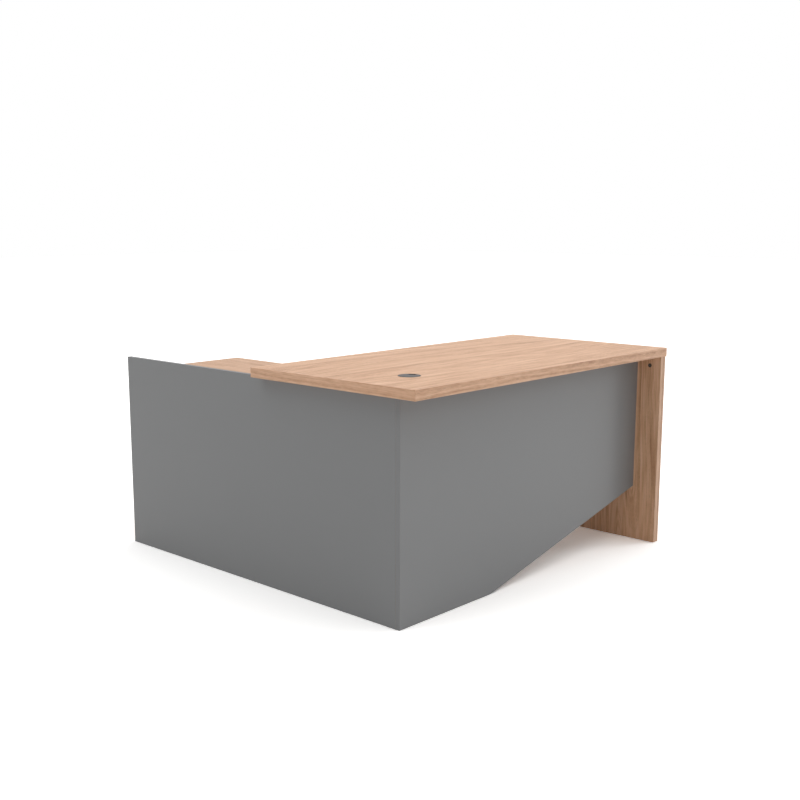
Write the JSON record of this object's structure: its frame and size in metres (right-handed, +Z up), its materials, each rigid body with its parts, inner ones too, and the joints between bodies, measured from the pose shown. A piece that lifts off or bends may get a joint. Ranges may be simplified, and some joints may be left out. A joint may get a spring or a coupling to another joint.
{
  "type": "l-shaped desk",
  "caption": "L-shaped office desk: wood-decor main top and end panel, grey corner panels with a slanted cut, lower return top, cable grommet and levelling feet.",
  "frame": {"origin": "on the floor, under the middle of the desk's outer box", "axes": "+Z up; +X along the main top, from the grey corner towards the wood end panel; +Y from the visitor's side towards the user, along the return"},
  "size_m": [1.4, 1.445, 0.7362],
  "materials": {
    "wood_decor_board": "melamine-faced chipboard, pinkish light walnut decor, fine pore, satin",
    "grey_board": "melamine-faced chipboard, plain mid grey, matt fine texture",
    "wood_decor_edge_band": "printed edge band in the same decor, satin",
    "grey_edge_band": "plain grey edge band, matt",
    "grey_plastic": "moulded grey plastic, fine texture",
    "zinc_casting": "dull dark zinc die casting",
    "zinc_plated_bolt": "bright zinc plating",
    "beech": "plain fluted beech, unfinished",
    "zinc_plated_sheet": "pressed sheet, zinc plated",
    "zinc_plated_steel": "zinc plated, turned",
    "black_plastic": "moulded black plastic"
  },
  "bodies": {
    "desk": {"main_top": "wood_decor_board", "main_top_front_band": "wood_decor_edge_band", "main_top_back_band": "wood_decor_edge_band", "main_top_left_band": "wood_decor_edge_band", "main_top_right_band": "wood_decor_edge_band", "end_panel": "wood_decor_board", "end_panel_edging": "wood_decor_edge_band", "front_panel": "grey_board", "front_panel_edging": "grey_edge_band", "side_panel": "grey_board", "side_panel_edging": "grey_edge_band", "return_top": "wood_decor_board", "return_top_edging": "wood_decor_edge_band", "return_end_panel": "wood_decor_board", "return_end_edging": "wood_decor_edge_band", "grommet_sleeve": "grey_plastic", "end_panel_cams": "zinc_casting", "end_panel_bolts": "zinc_plated_bolt", "end_panel_dowels": "beech", "front_panel_cams": "zinc_casting", "front_panel_bolts": "zinc_plated_bolt", "front_panel_dowels": "beech", "side_panel_cams": "zinc_casting", "side_panel_bolts": "zinc_plated_bolt", "side_panel_dowels": "beech", "return_top_cams": "zinc_casting", "return_top_bolts": "zinc_plated_bolt", "return_top_dowels": "beech", "return_end_cams": "zinc_casting", "return_end_bolts": "zinc_plated_bolt", "return_end_dowels": "beech", "foot_brackets": "zinc_plated_sheet", "foot_nuts": "zinc_plated_steel", "bracket_screws": "zinc_plated_steel", "foot_inserts": "zinc_plated_steel"},
    "cap": {"grommet_cap": "grey_plastic"},
    "side_near_foot": {"side_near_pad": "black_plastic", "side_near_stud": "zinc_plated_steel"},
    "side_middle_foot": {"side_middle_pad": "black_plastic", "side_middle_stud": "zinc_plated_steel"},
    "side_far_foot": {"side_far_pad": "black_plastic", "side_far_stud": "zinc_plated_steel"},
    "front_foot": {"front_pad": "black_plastic", "front_stud": "zinc_plated_steel"},
    "end_near_foot": {"end_near_pad": "black_plastic", "end_near_stud": "zinc_plated_steel"},
    "end_far_foot": {"end_far_pad": "black_plastic", "end_far_stud": "zinc_plated_steel"},
    "return_left_foot": {"return_left_pad": "black_plastic", "return_left_stud": "zinc_plated_steel"},
    "return_right_foot": {"return_right_pad": "black_plastic", "return_right_stud": "zinc_plated_steel"}
  },
  "joints": [
    {"name": "grommet_cap_turn", "type": "hinge", "parent": "desk", "child": "cap", "pos_m": [-0.497, -0.5195, 0.736], "axis": [0, 0, 1], "continuous": true},
    {"name": "side_near_foot_screw_out", "type": "slide", "parent": "desk", "child": "side_near_foot", "axis": [0, 0, -1], "range_m": [0, 0.012]},
    {"name": "side_middle_foot_screw_out", "type": "slide", "parent": "desk", "child": "side_middle_foot", "axis": [0, 0, -1], "range_m": [0, 0.012]},
    {"name": "side_far_foot_screw_out", "type": "slide", "parent": "desk", "child": "side_far_foot", "axis": [0, 0, -1], "range_m": [0, 0.012]},
    {"name": "front_foot_screw_out", "type": "slide", "parent": "desk", "child": "front_foot", "axis": [0, 0, -1], "range_m": [0, 0.012]},
    {"name": "end_near_foot_screw_out", "type": "slide", "parent": "desk", "child": "end_near_foot", "axis": [0, 0, -1], "range_m": [0, 0.012]},
    {"name": "end_far_foot_screw_out", "type": "slide", "parent": "desk", "child": "end_far_foot", "axis": [0, 0, -1], "range_m": [0, 0.012]},
    {"name": "return_left_foot_screw_out", "type": "slide", "parent": "desk", "child": "return_left_foot", "axis": [0, 0, -1], "range_m": [0, 0.012]},
    {"name": "return_right_foot_screw_out", "type": "slide", "parent": "desk", "child": "return_right_foot", "axis": [0, 0, -1], "range_m": [0, 0.012]}
  ]
}
